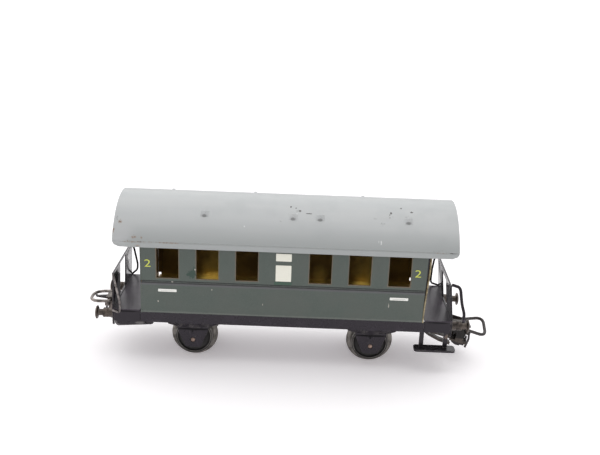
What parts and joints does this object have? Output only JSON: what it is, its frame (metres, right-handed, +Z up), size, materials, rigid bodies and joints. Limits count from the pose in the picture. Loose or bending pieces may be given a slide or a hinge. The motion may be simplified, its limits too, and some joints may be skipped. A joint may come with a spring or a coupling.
{
  "type": "model passenger coach",
  "caption": "Small tinplate passenger coach with a barrel roof, open end platforms, wheels on two axles, and a loop-and-hook coupling at each end.",
  "frame": {"origin": "on the table under the middle of the bounding box", "axes": "+X along the coach to its right-hand end, +Y to its back side, +Z up"},
  "size_m": [0.1268, 0.0338, 0.0506],
  "materials": {
    "roof_paint": "satin light blue-grey enamel, chipped and slightly rusty at the left eave",
    "body_paint": "dark green-grey lithographed tinplate, gold lacquer inside",
    "chassis_paint": "gloss black enamel, worn on the edges",
    "wheel_metal": "blackened, the tread polished by running",
    "steel": "bare, slightly tarnished",
    "buffer_metal": "burnished black-brown",
    "coupling_metal": "burnished black, worn to brown on the edges"
  },
  "bodies": {
    "coach": {"roof": "roof_paint", "side_wall_front": "body_paint", "side_wall_back": "body_paint", "end_wall_left": "body_paint", "end_wall_right": "body_paint", "chassis_frame": "chassis_paint", "platform_left": "chassis_paint", "platform_right": "chassis_paint", "end_frame_left": "chassis_paint", "end_frame_right": "chassis_paint", "handrail_left_front": "chassis_paint", "handrail_left_back": "chassis_paint", "handrail_right_front": "chassis_paint", "handrail_right_back": "chassis_paint", "step_left_front": "chassis_paint", "step_left_back": "chassis_paint", "step_right_front": "chassis_paint", "step_right_back": "chassis_paint", "axle_bracket_left": "chassis_paint", "axle_bracket_right": "chassis_paint", "rivet_left_1": "steel", "rivet_left_2": "steel", "rivet_right_1": "steel", "rivet_right_2": "steel", "buffer_left_front": "buffer_metal", "buffer_left_back": "buffer_metal", "buffer_right_front": "buffer_metal", "buffer_right_back": "buffer_metal", "pivot_post_left": "steel", "pivot_post_right": "steel"},
    "wheelset_left": {"axle_left": "steel", "wheel_left_front": "wheel_metal", "wheel_left_back": "wheel_metal"},
    "coupling_left": {"drawbar_left": "coupling_metal", "hook_left": "coupling_metal"},
    "loop_left": {"loop_left": "coupling_metal"},
    "wheelset_right": {"axle_right": "steel", "wheel_right_front": "wheel_metal", "wheel_right_back": "wheel_metal"},
    "coupling_right": {"drawbar_right": "coupling_metal", "hook_right": "coupling_metal"},
    "loop_right": {"loop_right": "coupling_metal"}
  },
  "joints": [
    {"name": "wheelset_left_roll", "type": "hinge", "parent": "coach", "child": "wheelset_left", "pos_m": [-0.02912, 0, 0.0072], "axis": [0, 1, 0], "continuous": true},
    {"name": "coupling_left_swing", "type": "hinge", "parent": "coach", "child": "coupling_left", "pos_m": [-0.03732, 0, 0.0102], "axis": [0, 0, 1], "range_deg": [-8, 8]},
    {"name": "loop_left_lift", "type": "hinge", "parent": "coupling_left", "child": "loop_left", "pos_m": [-0.05632, 0, 0.0152], "axis": [0, 1, 0], "range_deg": [0, 70]},
    {"name": "wheelset_right_roll", "type": "hinge", "parent": "coach", "child": "wheelset_right", "pos_m": [0.02548, 0, 0.0072], "axis": [0, 1, 0], "continuous": true},
    {"name": "coupling_right_swing", "type": "hinge", "parent": "coach", "child": "coupling_right", "pos_m": [0.03368, 0, 0.0102], "axis": [0, 0, 1], "range_deg": [-8, 8]},
    {"name": "loop_right_lift", "type": "hinge", "parent": "coupling_right", "child": "loop_right", "pos_m": [0.05631, 0, 0.00998], "axis": [0, -1, 0], "range_deg": [0, 70]}
  ]
}
